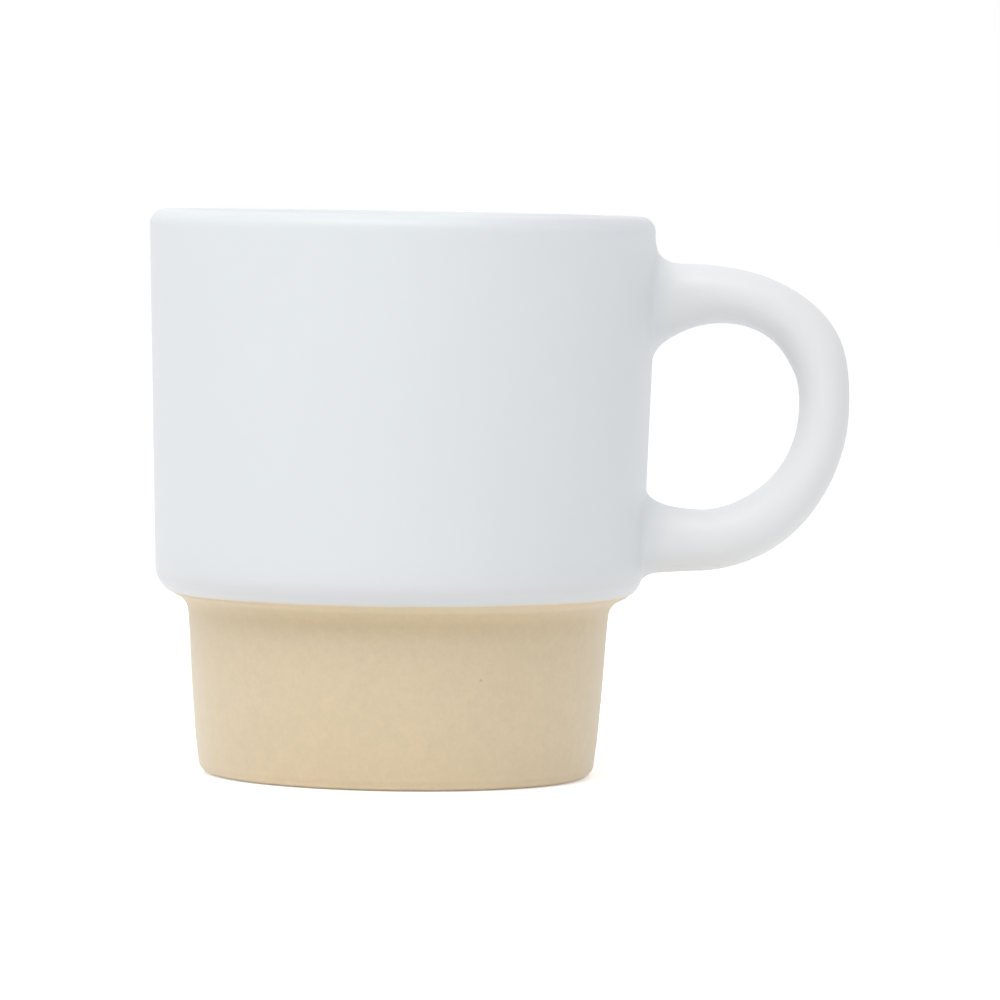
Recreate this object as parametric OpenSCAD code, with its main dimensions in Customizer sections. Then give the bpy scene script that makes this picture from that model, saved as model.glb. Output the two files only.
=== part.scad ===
// Espresso cup made to stack: a thick glazed body with a round handle,
// standing on a narrower bare foot. One piece of fired clay.
// The origin is the middle of the foot's underside, and the handle points along +X.

/* [Cup] */
// Height from the table to the rim
cup_h = 64; // [58:0.5:80]
// Width across the rim, before its edges are rounded
rim_d = 58; // [52:0.1:70]
// Outward lean of the upper wall, in degrees
wall_lean = 1.65; // [0:0.05:4]
// Thickness of the walls
wall = 3.6; // [2.6:0.1:4.4]
// Radius of the rim's two edges
rim_round = 1.7; // [0.4:0.1:1.8]

/* [Shoulder] */
// Height where the slanted ledge would meet the upper wall
shoulder_z = 21.5; // [17:0.1:26]
// Rise of the ledge above the horizontal, in degrees
ledge_rise = 25.4; // [10:0.1:35]
// Radius of the shoulder, between ledge and wall
shoulder_round = 3.4; // [0.5:0.1:4]
// Radius of the hollow under the ledge
neck_round = 2.3; // [0.5:0.1:3]

/* [Foot] */
// Gap around the foot when the cup stands in the rim of another one
stack_gap = 1.3; // [0.5:0.1:2.5]
// Outward lean of the foot's wall, in degrees
foot_lean = 4.65; // [0:0.05:8]
// Radius of the foot's lower edge
foot_round = 1.3; // [0.3:0.1:2]
// Width of the ring that the cup stands on
ring_w = 3.6; // [2.4:0.1:6]
// Radius of the ring's inner edge
ring_round = 0.4; // [0.1:0.1:0.8]
// Height of the hollow inside the ring
recess_h = 1.2; // [0.6:0.1:2.5]
// Radius at the top of that hollow
recess_round = 0.7; // [0.1:0.1:1]

/* [Inside] */
// Thickness of the floor
floor_t = 3.6; // [2.5:0.1:6]
// Radius between the floor and the wall
floor_round = 4; // [1:0.1:6]
// Radius of the step inside the neck
inner_neck_round = 3.2; // [0.5:0.1:5]
// Radius of the hollow inside the shoulder
inner_shoulder_round = 2.6; // [0.5:0.1:4]

/* [Handle] */
// Reach of the handle beyond the upper wall
handle_reach = 22.7; // [18:0.1:30]
// Depth of the upper arm's middle below the rim
handle_drop = 8.1; // [7.8:0.05:12]
// Height of the lower arm's middle above the shoulder
handle_lift = 5.8; // [5:0.1:9]
// Height of the outermost point above the middle of the two arms
crest_lift = 1.2; // [-3:0.1:3]
// Thickness at the outermost point, seen from the side
grip_t = 5.75; // [4.5:0.05:8]
// Thickness of the upper arm, seen from the side
upper_t = 5.95; // [4.5:0.05:8]
// Thickness of the lower arm, seen from the side
lower_t = 7; // [4.5:0.05:8.5]
// Thickness halfway round the upper bend
upper_bend_t = 6.1; // [4.5:0.05:8]
// Thickness halfway round the lower bend
lower_bend_t = 6.15; // [4.5:0.05:8.5]
// Width of the handle, seen from its end
handle_w = 6.9; // [4.5:0.1:10]
// Length of the upper arm before it bends
upper_l = 2.1; // [1:0.1:6]
// Length of the lower arm before it bends
lower_l = 5.7; // [1:0.1:8]
// Fall of the lower arm towards the wall
lower_fall = 0.4; // [0:0.1:1]
// Fullness of the upper bend, where 2 is an ellipse
upper_full = 2.5; // [1.8:0.05:3.5]
// Fullness of the lower bend, where 2 is an ellipse
lower_full = 2; // [1.8:0.05:3.5]

/* [Handle roots] */
// Run of the flare above the upper root, along the arm
upper_over_l = 2.9; // [1:0.1:5]
// Rise of the flare above the upper root, on the wall
upper_over_h = 1.8; // [0.5:0.1:3]
// Run of the flare below the upper root
upper_under_l = 13.3; // [3:0.1:14]
// Rise of the flare below the upper root
upper_under_h = 5.3; // [1:0.1:6]
// Run of the flare above the lower root
lower_over_l = 7.7; // [2:0.1:10]
// Rise of the flare above the lower root
lower_over_h = 2.8; // [0.5:0.1:4]
// Run of the flare below the lower root
lower_under_l = 1.7; // [1:0.1:6]
// Rise of the flare below the lower root
lower_under_h = 0.9; // [0.2:0.1:1]
// Run of the flare at the sides of both roots
side_l = 4; // [1:0.1:6]
// Rise of the flare at the sides of both roots
side_h = 2.2; // [0.5:0.1:3]
// Depth of the roots inside the wall
root_in = 1.8; // [1.2:0.1:2]

/* [Hidden] */
$fn = 96;

// Steps on each rounded edge, each bend of the handle, each arm, and around the handle
EDGE_STEPS = 8;
BEND_STEPS = 18;
ARM_STEPS = 8;
RING_STEPS = 24;
// Distance of an arm's first station outside the wall
OUT_STEP = 0.6;
// Depth in the wall at which a flare would lie flat along it
FLARE_IN = 0.3;

// Angles of the three outer lines, from the horizontal
wall_a = 90 - wall_lean;
foot_a = 90 - foot_lean;
ledge_a = ledge_rise;

// Outer corners, before rounding
rim = [rim_d / 2, cup_h];
shoulder = [wall_x(shoulder_z), shoulder_z];
rim_in = meet(inset(rim, wall_a, wall), wall_a, rim, 0);
neck_r = rim_in.x - stack_gap;
neck = meet([neck_r, 0], 90, shoulder, ledge_a);
foot = meet(neck, foot_a, [0, 0], 0);

// Inner corners, one wall inside the outer ones
floor_z = recess_h + floor_t;
shoulder_in = meet(rim_in, wall_a, inset(shoulder, ledge_a, wall), ledge_a);
neck_in = meet(inset(neck, foot_a, wall), foot_a, inset(shoulder, ledge_a, wall), ledge_a);
floor_in = meet(neck_in, foot_a, [0, floor_z], 0);
ring_r = foot.x - ring_w;

// Each corner of the section with the radius that rounds it
SECTION = [
    [[0, recess_h], 0],
    [[ring_r, recess_h], recess_round],
    [[ring_r, 0], ring_round],
    [foot, foot_round],
    [neck, neck_round],
    [shoulder, shoulder_round],
    [rim, rim_round],
    [rim_in, rim_round],
    [shoulder_in, inner_shoulder_round],
    [neck_in, inner_neck_round],
    [floor_in, floor_round],
    [[0, floor_z], 0],
];

// Middle line of the handle: the heights of its arms, and its outermost point
upper_z = cup_h - handle_drop;
lower_z = shoulder_z + handle_lift;
crest_z = (upper_z + lower_z) / 2 + crest_lift;
crest_x = wall_x(crest_z) + handle_reach - grip_t / 2;
upper_x = wall_x(upper_z) + upper_l;
lower_x = wall_x(lower_z) + lower_l;

// Radius of the upper wall's outer face at a height
function wall_x(z) = rim_d / 2 - (cup_h - z) * tan(wall_lean);

// Where the line through p at angle a crosses the line through q at angle b
function meet(p, a, q, b) =
    let (u = direction(a), v = direction(b))
    p + u * cross(q - p, v) / cross(u, v);

// A point moved square to a line at angle a, towards the cup's inside
function inset(p, a, by) = p + by * [-sin(a), cos(a)];

function unit(v) = v / norm(v);

function direction(a) = [cos(a), sin(a)];

// The arc that rounds corner p between its neighbours a and b, limited by the shorter side
function corner_arc(a, p, b, radius) =
    let (
        u = unit(a - p),
        v = unit(b - p),
        half = acos(u * v) / 2,
        r = min(radius, 0.49 * min(norm(a - p), norm(b - p)) * tan(half)),
        mid = p + unit(u + v) * r / sin(half),
        from = p + u * r / tan(half) - mid,
        to = p + v * r / tan(half) - mid,
        start = atan2(from.y, from.x),
        turn = (atan2(to.y, to.x) - start + 900) % 360 - 180
    )
    [for (k = [0 : EDGE_STEPS]) mid + r * direction(start + turn * k / EDGE_STEPS)];

function rounded(corners) =
    let (n = len(corners))
    [
        for (k = [0 : n - 1])
            let (c = corners[k])
            if (c[1] == 0) c[0]
            else each corner_arc(corners[(k + n - 1) % n][0], c[0], corners[(k + 1) % n][0], c[1])
    ];

// Quarter of a rounded bend about a centre, seen at angle q: [point, outward direction]
function bend(centre, half_x, half_z, full, q) =
    let (
        s = sin(q),
        c = cos(q),
        r = pow(pow(c, full) + pow(s, full), -1 / full),
        out = [pow(c, full - 1) / abs(half_x), sign(half_z) * pow(s, full - 1) / abs(half_z)]
    )
    [centre + r * [half_x * c, half_z * s], unit(out)];

// Thickness at angle q round a bend, from the grip's at 0 to the arm's at 90
function bend_t(middle_t, arm_t, q) =
    let (swell = middle_t - (grip_t + arm_t) / 2)
    grip_t + (arm_t - grip_t) * pow(sin(q), 2) + swell * pow(sin(2 * q), 2);

// Growth of a flare at a distance from the wall, for its run and rise
function flare(distance, run, rise) =
    let (u = max(0, min(1, 1 - (distance + FLARE_IN) / run)))
    rise * (1 - sqrt(1 - u * u));

// A station of the handle: [point, outward direction, outer half, inner half, half width]
function upper_station(at, out, t) =
    let (d = at.x - wall_x(upper_z))
    [
        at, out,
        t / 2 + flare(d, upper_over_l, upper_over_h),
        t / 2 + flare(d, upper_under_l, upper_under_h),
        handle_w / 2 + flare(d, side_l, side_h)
    ];

function lower_station(at, out, t) =
    let (d = at.x - wall_x(lower_z))
    [
        at, out,
        t / 2 + flare(d, lower_under_l, lower_under_h),
        t / 2 + flare(d, lower_over_l, lower_over_h),
        handle_w / 2 + flare(d, side_l, side_h)
    ];

// Distances from the wall at which an arm has a station: two inside it, the rest outside
function arm_steps(length) = [
    -root_in,
    -root_in / 2,
    for (k = [0 : ARM_STEPS - 1]) OUT_STEP + (length - OUT_STEP) * pow(k / ARM_STEPS, 1.4),
];

function reversed(list) = [for (k = [len(list) - 1 : -1 : 0]) list[k]];

// Stations from the upper root round to the lower one
STATIONS = [
    for (d = arm_steps(upper_l))
        upper_station([wall_x(upper_z) + d, upper_z], [0, 1], upper_t),
    for (k = [0 : BEND_STEPS])
        let (
            q = 90 * (1 - k / BEND_STEPS),
            b = bend([upper_x, crest_z], crest_x - upper_x, upper_z - crest_z, upper_full, q)
        )
        upper_station(b[0], b[1], bend_t(upper_bend_t, upper_t, q)),
    for (k = [1 : BEND_STEPS])
        let (
            q = 90 * k / BEND_STEPS,
            b = bend([lower_x, crest_z], crest_x - lower_x, lower_z - crest_z, lower_full, q)
        )
        lower_station(b[0], b[1], bend_t(lower_bend_t, lower_t, q)),
    for (d = reversed(arm_steps(lower_l)))
        lower_station([wall_x(lower_z) + d, lower_z - lower_fall * (1 - d / lower_l)], [0, -1], lower_t),
];

// One ring of points around a station
function ring(s) = [
    for (k = [0 : RING_STEPS - 1])
        let (
            w = 360 * k / RING_STEPS,
            side = (cos(w) > 0 ? s[2] : s[3]) * cos(w)
        )
        [s[0].x + s[1].x * side, s[4] * sin(w), s[0].y + s[1].y * side]
];

module body() {
    rotate_extrude()
        polygon(rounded(SECTION));
}

module handle() {
    last = (len(STATIONS) - 1) * RING_STEPS;
    polyhedron(
        points = [for (s = STATIONS) each ring(s)],
        faces = [
            [for (k = [RING_STEPS - 1 : -1 : 0]) k],
            for (i = [0 : len(STATIONS) - 2], k = [0 : RING_STEPS - 1])
                let (
                    a = i * RING_STEPS + k,
                    b = i * RING_STEPS + (k + 1) % RING_STEPS
                )
                [a, b, b + RING_STEPS, a + RING_STEPS],
            [for (k = [0 : RING_STEPS - 1]) last + k],
        ]
    );
}

module cup() {
    color("whitesmoke")
        union() {
            body();
            handle();
        }
}

cup();
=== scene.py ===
from math import atan2, cos, exp, hypot, pi, radians, sin, sqrt, tan, tau

import bmesh
import bpy
from mathutils import Matrix, Vector


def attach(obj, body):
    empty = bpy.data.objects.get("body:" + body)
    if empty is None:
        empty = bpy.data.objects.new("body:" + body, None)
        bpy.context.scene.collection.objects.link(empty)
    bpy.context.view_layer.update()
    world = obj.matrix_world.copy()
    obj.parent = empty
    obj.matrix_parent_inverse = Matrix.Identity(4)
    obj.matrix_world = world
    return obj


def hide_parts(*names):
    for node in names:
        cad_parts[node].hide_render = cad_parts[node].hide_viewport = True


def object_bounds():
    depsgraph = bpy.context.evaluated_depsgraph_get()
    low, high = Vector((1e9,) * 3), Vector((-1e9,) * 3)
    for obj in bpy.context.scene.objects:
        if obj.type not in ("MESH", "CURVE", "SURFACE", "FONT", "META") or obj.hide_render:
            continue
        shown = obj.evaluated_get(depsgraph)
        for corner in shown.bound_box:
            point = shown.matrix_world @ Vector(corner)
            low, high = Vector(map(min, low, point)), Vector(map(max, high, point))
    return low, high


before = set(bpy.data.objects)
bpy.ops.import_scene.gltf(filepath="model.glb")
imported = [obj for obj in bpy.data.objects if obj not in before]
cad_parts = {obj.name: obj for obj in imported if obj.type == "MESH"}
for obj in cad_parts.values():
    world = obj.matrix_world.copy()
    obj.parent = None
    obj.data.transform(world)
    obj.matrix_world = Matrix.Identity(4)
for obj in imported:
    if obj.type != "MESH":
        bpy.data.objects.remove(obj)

# The cup stands on z = 0 with its axis on z, its handle along +x. Lengths are in metres.
MM = 0.001
cad_low, cad_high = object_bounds()

# Cup
CUP_H = cad_high.z
RIM_R = 29 * MM
WALL_LEAN = radians(1.65)
WALL = 3.6 * MM
RIM_ROUND = 1.7 * MM

# Shoulder and foot
SHOULDER_Z = 21.5 * MM
LEDGE_RISE = radians(25.4)
SHOULDER_ROUND = 3.4 * MM
NECK_ROUND = 2.3 * MM
STACK_GAP = 1.3 * MM
FOOT_LEAN = radians(4.65)
FOOT_ROUND = 1.6 * MM
RING_W = 3.6 * MM
RING_ROUND = 0.4 * MM
RECESS_H = 1.2 * MM
RECESS_ROUND = 0.7 * MM

# Inside
FLOOR_T = 3.6 * MM
FLOOR_ROUND = 4 * MM
INNER_NECK_ROUND = 3.2 * MM
INNER_SHOULDER_ROUND = 2.6 * MM

# Edge of the glaze on the shoulder: its height, its rise towards the handle, its waves, each a
# height in mm, a count round the cup and a start, and its lip, as distances past the edge in mm
# with a share of the lip's thickness
GLAZE_Z = 20.92 * MM
GLAZE_RISE = 0.0065
GLAZE_WAVES = [(0.03, 3, 1), (0.02, 7, 2)]
LIP = 0.12 * MM
LIP_SHAPE = [
    (-0.8, 0), (-0.45, -0.7), (-0.15, -1), (-0.05, -0.9), (0, -0.55), (0.06, -0.15), (0.14, 0.08),
    (0.3, 0.15), (0.5, 0.1), (0.8, 0),
]

# The rim is a hair higher in front and at the left, as a thrown rim is never quite level
RIM_FOOT = 62.15 * MM
RIM_LIFT = 0.15 * MM
RIM_NOD = 0.0034
RIM_LEAN = -0.0014

# The rim is drawn in a little over the handle: by how much, from which height and x, and the
# length over which it sets in
RIM_DRAWN = 0.3 * MM
DRAWN_Z, DRAWN_Z_RUN = 60 * MM, 2 * MM
DRAWN_X, DRAWN_X_RUN = 20 * MM, 8 * MM

# The foot's side is slightly full, which sets in above its rounding and fades below the neck
FOOT_FULL = 0.13 * MM
FOOT_FULL_TOP = 17.5 * MM
FOOT_FULL_RUN, FOOT_FULL_FADE = 3 * MM, 9 * MM

# Handle
GRIP_T = 5.75 * MM
UPPER_T = 5.95 * MM
LOWER_T = 7 * MM
UPPER_BEND_T = 6.1 * MM
LOWER_BEND_T = 6.15 * MM
HANDLE_W = 6.9 * MM
HANDLE_DROP = 8.1 * MM
HANDLE_LIFT = 5.8 * MM
CREST_LIFT = 1.2 * MM
UPPER_L = 2.1 * MM
LOWER_L = 5.7 * MM
LOWER_FALL = 0.4 * MM
UPPER_FULL = 2.5
LOWER_FULL = 2.0

# Where the bends are plumper than an even handle's: by how much, at which angle, and how far round
UPPER_PLUMP = (0.46 * MM, radians(29), radians(12))
LOWER_PLUMP = (0.27 * MM, radians(52), radians(18))

# Flares at the handle's roots, each its run along the arm and its rise on the wall
UPPER_OVER = (2.9 * MM, 1.8 * MM)
UPPER_UNDER = (13.3 * MM, 5.3 * MM)
LOWER_OVER = (7.7 * MM, 2.8 * MM)
LOWER_UNDER = (1.7 * MM, 0.9 * MM)
SIDES = (4 * MM, 2.2 * MM)

# Fineness of the mesh
TURN_STEPS = 192
EDGE_STEPS = 10
RECESS_STEPS = 6
RING_STEPS = 4
LIP_ROWS = 22
ROW = 1.4 * MM
RING = 64
BEND_STEPS = 30

# Rings along an arm are closest at the wall: their places over the side flares, as angles in
# degrees, and the least length that is left before the bend
ROOT_TURNS = (90, 82, 74, 66, 58, 50, 42, 34, 26, 18, 9, 0)
LEAST_ARM = 0.3 * MM

# Points this near to each other are merged, and a point this near to the shoulder's arc is on it
MERGED = 0.002 * MM
MERGED_AT_ROOT = 0.003 * MM
ON_ARC = 0.01 * MM

# Windows in the wall that the handle grows from, so many columns wide and as many rows high. Rings
# of faces lead from a window's border to the root, and some of the lower one's rows are on the
# shoulder's arc.
WINDOW = RING // 4
PATCH_RINGS = 6
ARC_ROWS = 7
LOWER_WINDOW_TOP = 34.5 * MM
UPPER_WINDOW = (45.0 * MM, 62.1 * MM)


def direction(angle):
    """The unit vector at an angle."""
    return Vector((cos(angle), sin(angle)))


def meet(p, a, q, b):
    """Where the line through p at angle a crosses the line through q at angle b."""
    u, v, gap = direction(a), direction(b), q - p
    return p + u * (gap.x * v.y - gap.y * v.x) / (u.x * v.y - u.y * v.x)


def inset(p, a, by):
    """A point moved square to a line at angle a, towards the cup's inside."""
    return p + by * Vector((-sin(a), cos(a)))


def corner_arc(before, corner, after, radius, steps=EDGE_STEPS):
    """The arc that rounds a corner of the section."""
    u, v = (before - corner).normalized(), (after - corner).normalized()
    half = u.angle(v) / 2
    middle = corner + (u + v).normalized() * radius / sin(half)
    start = corner + u * radius / tan(half) - middle
    turn = start.angle_signed(corner + v * radius / tan(half) - middle)
    first = atan2(start.y, start.x)
    return [middle + radius * direction(first - turn * k / steps) for k in range(steps + 1)]


def straight(start, end, rows=None):
    """Points between two ends, without them."""
    rows = rows or max(1, round((end - start).length / ROW))
    return [start.lerp(end, k / rows) for k in range(1, rows)]


# Angles of the section's sides
WALL_A, FOOT_A, LEDGE_A = pi / 2 - WALL_LEAN, pi / 2 - FOOT_LEAN, LEDGE_RISE


def wall_r(z):
    """Radius of the upper wall's outer face, before its shoulder."""
    return RIM_R - (CUP_H - z) * tan(WALL_LEAN)


# Corners of the section, as (radius, height)
rim = Vector((RIM_R, CUP_H))
shoulder = Vector((wall_r(SHOULDER_Z), SHOULDER_Z))
rim_in = meet(inset(rim, WALL_A, WALL), WALL_A, rim, 0)
neck = meet(Vector((rim_in.x - STACK_GAP, 0)), pi / 2, shoulder, LEDGE_A)
foot = meet(neck, FOOT_A, Vector((0, 0)), 0)
FLOOR_Z = RECESS_H + FLOOR_T
shoulder_in = meet(rim_in, WALL_A, inset(shoulder, LEDGE_A, WALL), LEDGE_A)
neck_in = meet(inset(neck, FOOT_A, WALL), FOOT_A, inset(shoulder, LEDGE_A, WALL), LEDGE_A)
floor_in = meet(neck_in, FOOT_A, Vector((0, FLOOR_Z)), 0)

# The shoulder's arc: its middle, and its angles below the horizontal at the wall and at the ledge
ARC_MIDDLE = meet(
    inset(shoulder, WALL_A, SHOULDER_ROUND), WALL_A,
    inset(shoulder, LEDGE_A, SHOULDER_ROUND), LEDGE_A,
)
ARC_TOP, ARC_END = WALL_LEAN, pi / 2 - LEDGE_RISE
LIP_TOP, WINDOW_FOOT = radians(40), radians(28)


def on_shoulder(angle):
    """A point of the shoulder's arc."""
    return ARC_MIDDLE + SHOULDER_ROUND * direction(-angle)


WALL_FOOT_Z = on_shoulder(ARC_TOP).y


def outer_r(z):
    """Radius of the glazed outer face at a height, on the wall or on the shoulder."""
    if z >= WALL_FOOT_Z:
        return wall_r(z)
    return ARC_MIDDLE.x + sqrt(SHOULDER_ROUND ** 2 - (ARC_MIDDLE.y - z) ** 2)


def lip_rows():
    """Close rows of the section where the glaze ends, from the ledge up to the lower window."""
    angles = [ARC_END + (LIP_TOP - ARC_END) * k / LIP_ROWS for k in range(1, LIP_ROWS + 1)]
    return [on_shoulder(angle) for angle in [*angles, (LIP_TOP + WINDOW_FOOT) / 2]]


def lower_rows():
    """The section's points in the lower window, from the shoulder's arc up onto the wall."""
    shares = [1 - k / ARC_ROWS for k in range(ARC_ROWS + 1)]
    arc = [on_shoulder(ARC_TOP + (WINDOW_FOOT - ARC_TOP) * share) for share in shares]
    top = Vector((wall_r(LOWER_WINDOW_TOP), LOWER_WINDOW_TOP))
    return [*arc, *straight(arc[-1], top, WINDOW - ARC_ROWS), top]


def upper_rows():
    """The section's points in the upper window."""
    low, high = [Vector((wall_r(z), z)) for z in UPPER_WINDOW]
    return [low, *straight(low, high, WINDOW), high]


def section():
    """The whole section, from the middle of the underside round to the middle of the floor."""
    ring_r = foot.x - RING_W
    under = Vector((0, RECESS_H))
    floor = Vector((0, FLOOR_Z))
    recess_edge, ring_edge = Vector((ring_r, RECESS_H)), Vector((ring_r, 0))
    recess = corner_arc(under, recess_edge, ring_edge, RECESS_ROUND, RECESS_STEPS)
    ring_in = corner_arc(recess_edge, ring_edge, foot, RING_ROUND, RING_STEPS)
    foot_edge = corner_arc(ring_edge, foot, neck, FOOT_ROUND)
    hollow = corner_arc(foot, neck, shoulder, NECK_ROUND)
    ledge = on_shoulder(ARC_END)
    lower, upper = lower_rows(), upper_rows()
    rim_edge = corner_arc(shoulder, rim, rim_in, RIM_ROUND)
    rim_inner = corner_arc(rim, rim_in, shoulder_in, RIM_ROUND)
    inner_shoulder = corner_arc(rim_in, shoulder_in, neck_in, INNER_SHOULDER_ROUND)
    inner_neck = corner_arc(shoulder_in, neck_in, floor_in, INNER_NECK_ROUND)
    floor_edge = corner_arc(neck_in, floor_in, floor, FLOOR_ROUND)
    return [
        under, *straight(under, recess[0]), *recess, *ring_in,
        *straight(ring_in[-1], foot_edge[0]), *foot_edge,
        *straight(foot_edge[-1], hollow[0]), *hollow,
        *straight(hollow[-1], ledge), ledge, *lip_rows(),
        *lower, *straight(lower[-1], upper[0]), *upper, *rim_edge, *rim_inner,
        *straight(rim_inner[-1], inner_shoulder[0]), *inner_shoulder,
        *straight(inner_shoulder[-1], inner_neck[0]), *inner_neck,
        *straight(inner_neck[-1], floor_edge[0]), *floor_edge,
        *straight(floor_edge[-1], floor), floor,
    ]


def edit(piece):
    """Only this piece selected and in edit mode, with nothing selected in it."""
    bpy.ops.object.select_all(action="DESELECT")
    piece.select_set(True)
    bpy.context.view_layer.objects.active = piece
    bpy.ops.object.mode_set(mode="EDIT")
    bpy.ops.mesh.select_mode(type="VERT")
    bpy.ops.mesh.select_all(action="DESELECT")


def turned_body():
    """The body, spun from its section."""
    bpy.ops.object.select_all(action="DESELECT")
    bpy.ops.mesh.primitive_plane_add(size=MM)
    body = bpy.context.object
    edit(body)
    bpy.ops.mesh.select_all(action="SELECT")
    bpy.ops.mesh.merge(type="CENTER")
    points = section()
    bpy.ops.transform.translate(value=(points[0].x, 0, points[0].y))
    for before, after in zip(points, points[1:]):
        step = after - before
        bpy.ops.mesh.extrude_region_move(TRANSFORM_OT_translate={"value": (step.x, 0, step.y)})
    bpy.ops.mesh.select_all(action="SELECT")
    bpy.ops.mesh.spin(steps=TURN_STEPS, angle=tau, center=(0, 0, 0), axis=(0, 0, 1))
    bpy.ops.mesh.select_all(action="SELECT")
    bpy.ops.mesh.remove_doubles(threshold=MERGED)
    bpy.ops.mesh.normals_make_consistent(inside=False)
    mesh = bmesh.from_edit_mesh(body.data)
    for vertex in mesh.verts:
        raise_lip(vertex)
    bmesh.update_edit_mesh(body.data)
    bpy.ops.object.mode_set(mode="OBJECT")
    return body


def glaze_edge(x, y):
    """Height of the glaze's edge, which isn't quite level or even."""
    turn = atan2(y, x)
    waves = sum(high * sin(count * turn + start) for high, count, start in GLAZE_WAVES)
    return GLAZE_Z + GLAZE_RISE * x + waves * MM


def raise_lip(vertex):
    """Moves a vertex of the shoulder off its arc, down on the bare clay and up on the glaze."""
    x, y, z = vertex.co
    out = Vector((hypot(x, y), z)) - ARC_MIDDLE
    below = atan2(-out.y, out.x)
    if abs(out.length - SHOULDER_ROUND) > ON_ARC or not WINDOW_FOOT < below < ARC_END:
        return
    past = (z - glaze_edge(x, y)) / cos(below) / MM
    for (near, low), (far, high) in zip(LIP_SHAPE, LIP_SHAPE[1:]):
        if near <= past < far:
            lift = LIP * (low + (high - low) * (past - near) / (far - near))
            out = ARC_MIDDLE + out.normalized() * (SHOULDER_ROUND + lift)
            vertex.co = (out.x * x / hypot(x, y), out.x * y / hypot(x, y), out.y)


def window_ring(rows, way):
    """The border of a window in the wall, from its middle at the handle's outer side."""
    reach = WINDOW // 2
    side = [(k, way) for k in range(reach)]
    side += [(reach, way * (1 - 2 * k / WINDOW)) for k in range(WINDOW)]
    side += [(reach - k, -way) for k in range(WINDOW)]
    side += [(-reach, -way * (1 - 2 * k / WINDOW)) for k in range(WINDOW)]
    side += [(k - reach, way) for k in range(reach)]
    turn = tau / TURN_STEPS
    ring = []
    for column, height in side:
        r, z = rows[round((height + 1) / 2 * WINDOW)]
        ring.append(Vector((r * cos(column * turn), r * sin(column * turn), z)))
    return ring


def flare(distance, size):
    """How far a flare stands off the handle's side, at a distance from the wall."""
    run, rise = size
    u = max(0.0, min(1.0, 1 - distance / run))
    return rise * (1 - sqrt(1 - u * u))


class Root:
    """One end of the handle, from the wall round its bend. Its way is 1 at the top and -1 below.

    Its outer side is turned away from the finger gap, and its inner side to it.
    """

    def __init__(self, z, way, thick, bend_thick, length, fall, full, plump, outer, inner):
        self.z, self.way, self.thick, self.length = z, way, thick, length
        self.swell = bend_thick - (thick + GRIP_T) / 2
        self.fall, self.full, self.plump = fall, full, plump
        self.outer, self.inner = outer, inner
        self.wall = wall_r(z)
        self.bend_x = self.wall + length

    def ring(self, centre, out, thick):
        """The handle's section about a point, where out is its outward direction in x and z."""
        distance = centre.x - self.wall
        outer = thick / 2 + flare(distance, self.outer)
        inner = thick / 2 + flare(distance, self.inner)
        side = HANDLE_W / 2 + flare(distance, SIDES)
        follow = max(0.0, 1 - distance / SIDES[0])
        ring = []
        for k in range(RING):
            angle = tau * k / RING
            across = cos(angle) * (outer if cos(angle) > 0 else inner)
            p = Vector((centre.x + out.x * across, side * sin(angle), centre.y + out.y * across))
            here = sqrt(outer_r(p.z) ** 2 - p.y ** 2) if follow else 0
            p.x += follow * (here - self.wall)
            ring.append(p)
        return ring

    def arm(self):
        """Rings along the straight part, from the wall outwards."""
        distances = [SIDES[0] * (1 - sin(radians(turn))) for turn in ROOT_TURNS]
        distances = [d for d in distances if d < self.length - LEAST_ARM]
        if self.length > SIDES[0] + ROW:
            distances.append((SIDES[0] + self.length) / 2)
        rings = []
        for d in distances:
            z = self.z + self.way * self.fall * (1 - d / self.length)
            rings.append(self.ring(Vector((self.wall + d, z)), Vector((0, self.way)), self.thick))
        return rings

    def bend(self, crest):
        """Rings round the bend, from the arm to the handle's outermost point."""
        half = Vector((crest.x - self.bend_x, self.z - crest.y))
        most, middle, spread = self.plump
        rings = []
        for k in range(BEND_STEPS + 1):
            angle = pi / 2 * (1 - k / BEND_STEPS)
            c, s = max(cos(angle), 0.0), sin(angle)
            r = (c ** self.full + s ** self.full) ** (-1 / self.full)
            centre = Vector((self.bend_x + r * half.x * c, crest.y + r * half.y * s))
            out = Vector((c ** (self.full - 1) / half.x, s ** (self.full - 1) / half.y))
            thick = GRIP_T + (self.thick - GRIP_T) * s * s + self.swell * (2 * s * c) ** 2
            thick += most * exp(-((angle - middle) / spread) ** 2)
            rings.append(self.ring(centre, out.normalized(), thick))
        return rings


def patch(border, oval):
    """Rings on the wall between a window's border and the handle's root."""
    rings = []
    for k in range(1, PATCH_RINGS):
        ring = []
        for a, b in zip(border, oval):
            y, z = a.y + (b.y - a.y) * k / PATCH_RINGS, a.z + (b.z - a.z) * k / PATCH_RINGS
            ring.append(Vector((sqrt(outer_r(z) ** 2 - y * y), y, z)))
        rings.append(ring)
    return rings


def open_window(body, low, high):
    """Deletes the outer wall's faces in a window."""
    edit(body)
    bpy.ops.mesh.select_mode(type="FACE")
    mesh = bmesh.from_edit_mesh(body.data)
    reach = tau / TURN_STEPS * WINDOW / 2
    for face in mesh.faces:
        c = face.calc_center_median()
        inside_window = low < c.z < high and abs(atan2(c.y, c.x)) < reach
        face.select = inside_window and hypot(c.x, c.y) > outer_r(c.z) - WALL / 2
    bpy.ops.mesh.delete(type="FACE")
    bpy.ops.object.mode_set(mode="OBJECT")


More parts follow.
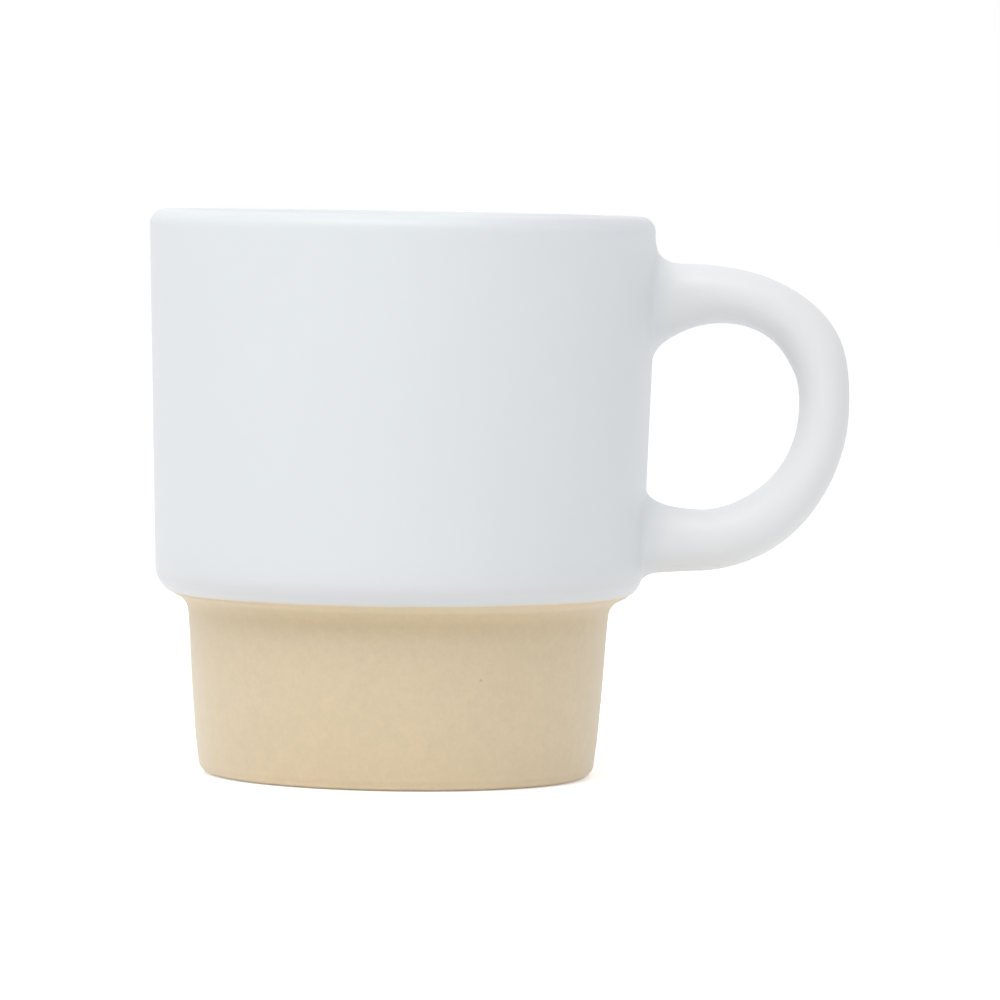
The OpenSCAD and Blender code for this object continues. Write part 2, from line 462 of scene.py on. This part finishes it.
def grow(body, rings):
    """Extrudes the first ring, a window's border, from ring to ring, and closes on the last."""
    edit(body)
    bpy.ops.mesh.select_mode(type="EDGE")
    mesh = bmesh.from_edit_mesh(body.data)
    edges = [e for e in mesh.edges if e.is_boundary]
    border = {v for e in edges for v in e.verts}
    border = [min(border, key=lambda v: (v.co - place).length) for place in rings[0]]
    loop = [v.co.copy() for v in border]
    for edge in edges:
        edge.select = all(v in border for v in edge.verts)
    for ring in rings[1:]:
        bpy.ops.mesh.extrude_region()
        mesh = bmesh.from_edit_mesh(body.data)
        where = {tuple(p): k for k, p in enumerate(loop)}
        loop = [None] * RING
        for vertex in mesh.verts:
            if vertex.select:
                k = where[tuple(vertex.co)]
                vertex.co = ring[k]
                loop[k] = vertex.co.copy()
        bmesh.update_edit_mesh(body.data)
    bpy.ops.mesh.select_mode(type="VERT")
    bpy.ops.mesh.select_all(action="SELECT")
    bpy.ops.mesh.remove_doubles(threshold=MERGED_AT_ROOT)
    bpy.ops.mesh.normals_make_consistent(inside=False)
    bpy.ops.object.mode_set(mode="OBJECT")


def eased(share):
    """A soft step from 0 to 1."""
    share = min(max(share, 0), 1)
    return share * share * (3 - 2 * share)


def settle(body):
    """The small unevenness of one cup: its full foot, its drawn-in corner and its tilted rim."""
    edit(body)
    mesh = bmesh.from_edit_mesh(body.data)
    for vertex in mesh.verts:
        x, y, z = vertex.co
        out = hypot(x, y)
        if out > foot.x + z * tan(FOOT_LEAN) - FOOT_ROUND / 2 and z < FOOT_FULL_TOP:
            full = eased((z - FOOT_ROUND) / FOOT_FULL_RUN)
            full *= eased((FOOT_FULL_TOP - z) / FOOT_FULL_FADE)
            wider = 1 + full * FOOT_FULL / out
            vertex.co *= Vector((wider, wider, 1))
        drawn = eased((z - DRAWN_Z) / DRAWN_Z_RUN) * eased((x - DRAWN_X) / DRAWN_X_RUN)
        vertex.co.x -= RIM_DRAWN * drawn
        vertex.select = z > RIM_FOOT
    mesh.select_flush_mode()
    bmesh.update_edit_mesh(body.data)
    for axis, angle in (("X", RIM_NOD), ("Y", RIM_LEAN)):
        bpy.ops.transform.rotate(value=angle, orient_axis=axis, center_override=(0, 0, CUP_H))
    bpy.ops.transform.translate(value=(0, 0, RIM_LIFT))
    bpy.ops.object.mode_set(mode="OBJECT")


def make_cup():
    """The whole cup in one mesh: the turned body, with the handle grown out of its wall."""
    body = turned_body()
    upper = Root(
        z=CUP_H - HANDLE_DROP, way=1, thick=UPPER_T, bend_thick=UPPER_BEND_T, length=UPPER_L,
        fall=0, full=UPPER_FULL, plump=UPPER_PLUMP, outer=UPPER_OVER, inner=UPPER_UNDER,
    )
    lower = Root(
        z=SHOULDER_Z + HANDLE_LIFT, way=-1, thick=LOWER_T, bend_thick=LOWER_BEND_T, length=LOWER_L,
        fall=LOWER_FALL, full=LOWER_FULL, plump=LOWER_PLUMP, outer=LOWER_UNDER, inner=LOWER_OVER,
    )
    crest_z = (upper.z + lower.z) / 2 + CREST_LIFT
    crest = Vector((cad_high.x - GRIP_T / 2, crest_z))
    upper_border, lower_border = window_ring(upper_rows(), 1), window_ring(lower_rows(), -1)
    open_window(body, *UPPER_WINDOW)
    open_window(body, lower_rows()[0].y, LOWER_WINDOW_TOP)
    upper_arm, lower_arm = upper.arm(), lower.arm()
    rings = [upper_border, *patch(upper_border, upper_arm[0]), *upper_arm, *upper.bend(crest)]
    back = [lower_border, *patch(lower_border, lower_arm[0]), *lower_arm, *lower.bend(crest)]
    grow(body, rings + back[-2::-1])
    settle(body)
    body.name = "cup_body"
    bpy.ops.object.shade_smooth()
    return body


class Value:
    """A socket of a material's nodes. Sums written on it add their Math nodes."""

    def __init__(self, tree, socket):
        self.tree, self.socket = tree, socket

    def maths(self, operation, *values):
        return self.tree.add("ShaderNodeMath", {"operation": operation}, values)

    def __add__(self, other):
        return self.maths("ADD", self, other)

    def __sub__(self, other):
        return self.maths("SUBTRACT", self, other)

    def __rsub__(self, other):
        return self.maths("SUBTRACT", other, self)

    def __mul__(self, other):
        return self.maths("MULTIPLY", self, other)

    def __truediv__(self, other):
        return self.maths("DIVIDE", self, other)

    def __lt__(self, other):
        return self.maths("LESS_THAN", self, other)

    def __gt__(self, other):
        return self.maths("GREATER_THAN", self, other)

    __radd__, __rmul__ = __add__, __mul__

    def root(self):
        return self.maths("SQRT", self)

    def clipped(self):
        return self.maths("MINIMUM", self.maths("MAXIMUM", self, 0.0), 1.0)

    def larger(self, other):
        return self.maths("MAXIMUM", self, other)


class Tree:
    """The nodes of a material or of the world."""

    def __init__(self, owner):
        owner.use_nodes = True
        self.nodes, self.links = owner.node_tree.nodes, owner.node_tree.links
        self.nodes.clear()

    def add(self, kind, settings=None, sockets=(), output=0):
        """Adds a node and gives back one of its outputs. Sockets go by place or by name."""
        node = self.nodes.new(kind)
        for name, value in (settings or {}).items():
            setattr(node, name, value)
        pairs = sockets.items() if isinstance(sockets, dict) else enumerate(sockets)
        for key, value in pairs:
            if isinstance(value, Value):
                self.links.new(value.socket, node.inputs[key])
            else:
                node.inputs[key].default_value = value
        return Value(self, node.outputs[output]) if len(node.outputs) else node

    def parts(self, vector):
        """The x, y and z of a vector."""
        return [self.add("ShaderNodeSeparateXYZ", None, [vector], k) for k in range(3)]

    def noise(self, place, scale, detail, rough=0.5):
        """Soft random patches from 0 to 1."""
        return self.add(
            "ShaderNodeTexNoise", None,
            {"Vector": place, "Scale": scale, "Detail": detail, "Roughness": rough},
        )

    def blend(self, amount, first, second):
        """A colour between two, by an amount from 0 to 1."""
        settings = {"data_type": "RGBA", "blend_type": "MIX", "clamp_result": False}
        return self.add("ShaderNodeMix", settings, {0: amount, 6: first, 7: second}, 2)

    def shaded(self, colour, amount):
        """A colour made lighter or darker by an amount near 1."""
        return self.add(
            "ShaderNodeVectorMath", {"operation": "SCALE"}, {"Vector": colour, "Scale": amount}
        )

    def bumps(self, height):
        """The normal of a surface with small bumps, from their height in metres."""
        inputs = {"Strength": 1.0, "Distance": 1.0, "Height": height}
        return self.add("ShaderNodeBump", None, inputs)

    def specks(self, place, scale, size, share):
        """Small round dots, 1 inside a dot. Only a share of the cells has one."""
        inputs = {"Vector": place, "Scale": scale}
        settings = {"voronoi_dimensions": "3D", "feature": "F1"}
        near = self.add("ShaderNodeTexVoronoi", settings, inputs)
        cell = self.add("ShaderNodeTexVoronoi", settings, inputs, 1)
        pick = self.parts(cell)[0] < share
        return (1 - near / (size * scale)).clipped() * pick


# Colours as linear red, green, blue
GLAZE = (0.76, 0.797, 0.82, 1)
# Painted warm bounce light, low on the glazed wall
BOUNCE_LIT_LOW_GLAZE = (0.76, 0.775, 0.8, 1)
# Painted light: the handle's glaze is lighter and less blue than the body's
LIT_HANDLE_GLAZE = (0.8, 0.81, 0.82, 1)
# Painted shade on the rim's top near the handle
SHADED_RIM_GLAZE = (0.69, 0.705, 0.74, 1)
# Painted light: the glaze inside the cup is a little lighter
LIT_INSIDE_GLAZE = (0.785, 0.82, 0.842, 1)
GLAZE_WARM = (0.76, 0.735, 0.67, 1)
CLAY = (0.715, 0.588, 0.398, 1)
CLAY_DARK = (0.25, 0.17, 0.1, 1)
# Painted shade for the groove under the ledge
CLAY_PAINTED_SHADE = (0.68, 0.545, 0.345, 1)

# Random patterns, each its patches to a metre, its detail and its roughness
CLOUD = (60, 3)
WAVES = (220, 1)
WANDER = (300, 2)
BLOTCH = (420, 2)
SAND = (900, 4, 0.6)
GRAIN = (2600, 3, 0.7)

# Small dots, each their cells to a metre, their radius and the share of cells that has one
DOTS = (420, 0.22 * MM, 0.09)
PINHOLES = (950, 0.22 * MM, 0.8)

# The glaze's edge: how far it wanders, over what it fades, and how far up the clay warms it
EDGE_WANDER = 0.12 * MM
EDGE_FADE = 0.07 * MM
EDGE_WARM = 0.45 * MM

# Within this radius and above this height, the low part of the cup is its glazed inside
INSIDE_R, INSIDE_Z = 21.6 * MM, 3 * MM

# Where the clay changes, as a height and the length of the change: painted light makes it paler on
# the ledge's top and at the foot's lower edge, and painted shade makes it darker and warmer in the
# groove under the ledge
LEDGE_PAINTED_LIGHT = (19.95 * MM, 0.3 * MM)
GROOVE_SHADE_TOP = (20.3 * MM, 0.5 * MM)
GROOVE_SHADE_LOW = (16.5 * MM, 2.5 * MM)
FOOT_PAINTED_LIGHT = 2.2 * MM
FOOT_LOW_PAINTED_LIGHT = 0.8 * MM

# Where the glaze changes, in the same way: painted light on the handle and inside the cup, painted
# warm bounce light low on the wall, painted shade on the rim's top near the handle, and pinholes
# under the handle's lower arm
HANDLE_X = (28.4 * MM, 2.4 * MM)
LIT_INSIDE_R, LIT_INSIDE_Z = (27.6 * MM, 0.8 * MM), 22 * MM
BOUNCE_LOW_Z = (26.5 * MM, 4 * MM)
RIM_SHADE_Z, RIM_SHADE_X = (62.8 * MM, 0.9 * MM), (6 * MM, 14 * MM)
PINHOLE_X, PINHOLE_Z = 29 * MM, (24.9 * MM, 0.5 * MM)

# Painted shade on the handle, a little darker up and lighter down: from which height, and by how
# much to a metre
HANDLE_MIDDLE = 40 * MM
HANDLE_SHADE = 1.4

# Finish of the clay and of the glaze, with the heights of the clay's grain and of the glaze's waves
CLAY_RELIEF, CLAY_ROUGH = 0.04 * MM, 0.52
GLAZE_RELIEF, GLAZE_ROUGH, GLAZE_IOR = 0.008 * MM, 0.45, 1.42


def rising(value, start, run):
    """0 up to a start, and 1 from a run past it."""
    return ((value - start) / run).clipped()


def falling(value, end, run):
    """1 up to a run before an end, and 0 from the end on."""
    return ((end - value) / run).clipped()


def bare_clay(tree, place, z, cloud):
    """Sandy clay, fired without a glaze."""
    grain = tree.noise(place, *GRAIN) - 0.5
    sand = tree.noise(place, *SAND) - 0.5
    blotch = tree.noise(place, *BLOTCH) - 0.5
    # Painted light: the clay on the ledge's top, just under the glaze, is made lighter
    ledge = rising(z, *LEDGE_PAINTED_LIGHT)
    # Painted shade: the clay in the groove under the ledge is made darker and warmer
    groove_shade = falling(z, *GROOVE_SHADE_TOP) * rising(z, *GROOVE_SHADE_LOW)
    # Painted light: the foot's lower edge is made paler, most in its lowest part, against the shade
    # where it meets the floor
    foot_edge = (1 - z / FOOT_PAINTED_LIGHT).clipped()
    lit_bottom = (1 - z / FOOT_LOW_PAINTED_LIGHT).clipped()
    # The painted light on the clay, as a share added to 1
    painted_light_tone = ledge * 0.04 + foot_edge * foot_edge * 0.14 + lit_bottom * 0.22 + 1
    colour = tree.blend(groove_shade * 0.8, CLAY, CLAY_PAINTED_SHADE)
    uneven = cloud * 0.05 + sand * 0.12 + blotch * 0.06 + grain * 0.12
    colour = tree.shaded(colour, uneven + painted_light_tone)
    colour = tree.blend(tree.specks(place, *DOTS) * 0.55, colour, CLAY_DARK)
    return tree.add(
        "ShaderNodeBsdfPrincipled", None,
        {
            "Base Color": colour, "Roughness": sand * 0.2 + CLAY_ROUGH,
            "Normal": tree.bumps((grain * 0.5 + sand) * CLAY_RELIEF),
            "Sheen Weight": 0.4, "Sheen Roughness": 0.5,
        },
    )


def satin_glaze(tree, place, x, z, radius, cloud, edge):
    """Pale satin glaze, which is thinner and warmer where it ends."""
    on_handle = rising(x, *HANDLE_X)
    inner = falling(radius, *LIT_INSIDE_R) * (z > LIT_INSIDE_Z)
    # Painted warm bounce light on the glaze low on the wall
    colour = tree.blend(falling(z, *BOUNCE_LOW_Z), GLAZE, BOUNCE_LIT_LOW_GLAZE)
    # Painted light on the handle's glaze
    colour = tree.blend(on_handle, colour, LIT_HANDLE_GLAZE)
    # Painted light: the glaze inside the cup is made a little lighter
    colour = tree.blend(inner, colour, LIT_INSIDE_GLAZE)
    # Painted shade: the handle's glaze is darker up and lighter down
    lower = on_handle * (HANDLE_MIDDLE - z)
    colour = tree.shaded(colour, cloud * 0.03 + lower * HANDLE_SHADE + 1)
    # Painted shade: the rim's top near the handle is darker
    colour = tree.blend(rising(z, *RIM_SHADE_Z) * rising(x, *RIM_SHADE_X), colour, SHADED_RIM_GLAZE)
    colour = tree.blend(edge * 0.6, colour, GLAZE_WARM)
    under_handle = (x > PINHOLE_X) * falling(z, *PINHOLE_Z)
    colour = tree.blend(tree.specks(place, *PINHOLES) * under_handle * 0.4, colour, CLAY_DARK)
    return tree.add(
        "ShaderNodeBsdfPrincipled", None,
        {
            "Base Color": colour, "Roughness": cloud * 0.1 + GLAZE_ROUGH, "IOR": GLAZE_IOR,
            "Normal": tree.bumps(tree.noise(place, *WAVES) * GLAZE_RELIEF),
        },
    )


def stoneware():
    """Glaze over a bare clay, which shows on the foot and below the shoulder."""
    material = bpy.data.materials.new("glazed_stoneware")
    tree = Tree(material)
    place = tree.add("ShaderNodeTexCoord", None, (), "Object")
    x, y, z = tree.parts(place)
    radius = (x * x + y * y).root()
    cloud = tree.noise(place, *CLOUD) - 0.5

    wander = (tree.noise(place, *WANDER) - 0.5) * EDGE_WANDER
    past = z - x * GLAZE_RISE - GLAZE_Z + wander
    above = (past / EDGE_FADE + 0.5).clipped()
    inside = (radius < INSIDE_R) * (z > INSIDE_Z)
    edge = (1 - past / EDGE_WARM).clipped() * above

    bare = bare_clay(tree, place, z, cloud)
    satin = satin_glaze(tree, place, x, z, radius, cloud, edge)
    both = tree.add("ShaderNodeMixShader", None, [above.larger(inside), bare, satin])
    tree.add("ShaderNodeOutputMaterial", None, [both])
    return material


# Camera, in front of the cup and a little above its rim
CAMERA = Vector((11.41, -775.34, 72.5)) * MM
AIM = Vector((11.41, 0, 31.54)) * MM
ROLL = 0.0164
LENS, SENSOR = 244.76, 36
NEAREST, FARTHEST = 0.01, 20

# Square soft boxes, each its name, place in metres and power in watts
BOX_SIZE = 0.6
BOXES = [
    ("front_box", (0.0, -0.65, 1.05), 4.15),
    ("left_box", (-0.45, -0.5, 1.1), 3.5),
    ("low_left_box", (-1.05, -0.25, 0.6), 0.6),
]

# The light from the room and from behind the cup, the floor's paper, and the kinds of rays that
# see the walls plain white
SEEING = ("Camera", "Glossy", "Transmission")
ROOM_LIGHT = 0.54
BACK_LIGHT = 0.63
PAPER = (0.9, 0.9, 0.9, 1)
PAPER_GLOW = 0.42
FLOOR_SIZE = 8


def make_camera():
    """The scene's camera."""
    data = bpy.data.cameras.new("camera")
    data.lens, data.sensor_width = LENS, SENSOR
    data.clip_start, data.clip_end = NEAREST, FARTHEST
    camera = bpy.data.objects.new("camera", data)
    bpy.context.scene.collection.objects.link(camera)
    look = (AIM - CAMERA).to_track_quat("-Z", "Y").to_matrix().to_4x4()
    camera.matrix_world = Matrix.Translation(CAMERA) @ look @ Matrix.Rotation(ROLL, 4, "Z")
    bpy.context.scene.camera = camera


def make_box(name, place, power):
    """A soft box, turned to the cup."""
    data = bpy.data.lights.new(name, "AREA")
    data.size, data.energy = BOX_SIZE, power
    lamp = bpy.data.objects.new(name, data)
    bpy.context.scene.collection.objects.link(lamp)
    look = (AIM - Vector(place)).to_track_quat("-Z", "Y").to_matrix().to_4x4()
    lamp.matrix_world = Matrix.Translation(place) @ look


def seen(tree):
    """1 for what the camera sees, also in a reflection or through glass."""
    rays = [tree.add("ShaderNodeLightPath", None, (), f"Is {kind} Ray") for kind in SEEING]
    return (rays[0] + rays[1] + rays[2]).clipped()


def make_surroundings():
    """A pale floor, and white walls that are lightest behind the cup."""
    bpy.ops.object.select_all(action="DESELECT")
    bpy.ops.mesh.primitive_plane_add(size=FLOOR_SIZE)
    floor = bpy.context.object
    floor.name = "floor"
    paper = bpy.data.materials.new("paper")
    tree = Tree(paper)
    sheet = tree.add("ShaderNodeBsdfDiffuse", None, {"Color": PAPER})
    glow = tree.add("ShaderNodeEmission", None, {"Strength": seen(tree) * PAPER_GLOW})
    both = tree.add("ShaderNodeAddShader", None, [sheet, glow])
    tree.add("ShaderNodeOutputMaterial", None, [both])
    floor.data.materials.append(paper)

    world = bpy.data.worlds.new("studio")
    bpy.context.scene.world = world
    tree = Tree(world)
    behind = tree.parts(tree.add("ShaderNodeTexCoord", None, (), "Generated"))[1].larger(0.0)
    light = behind * BACK_LIGHT + ROOM_LIGHT
    looked_at = seen(tree)
    strength = looked_at + (1 - looked_at) * light
    walls = tree.add("ShaderNodeBackground", None, {"Color": (1, 1, 1, 1), "Strength": strength})
    tree.add("ShaderNodeOutputWorld", None, [walls])


cup = make_cup()
cup.data.materials.append(stoneware())
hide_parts("cup")
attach(cup, "root")

make_camera()
for name, place, power in BOXES:
    make_box(name, place, power)
make_surroundings()
bpy.context.scene.view_settings.view_transform = "Standard"
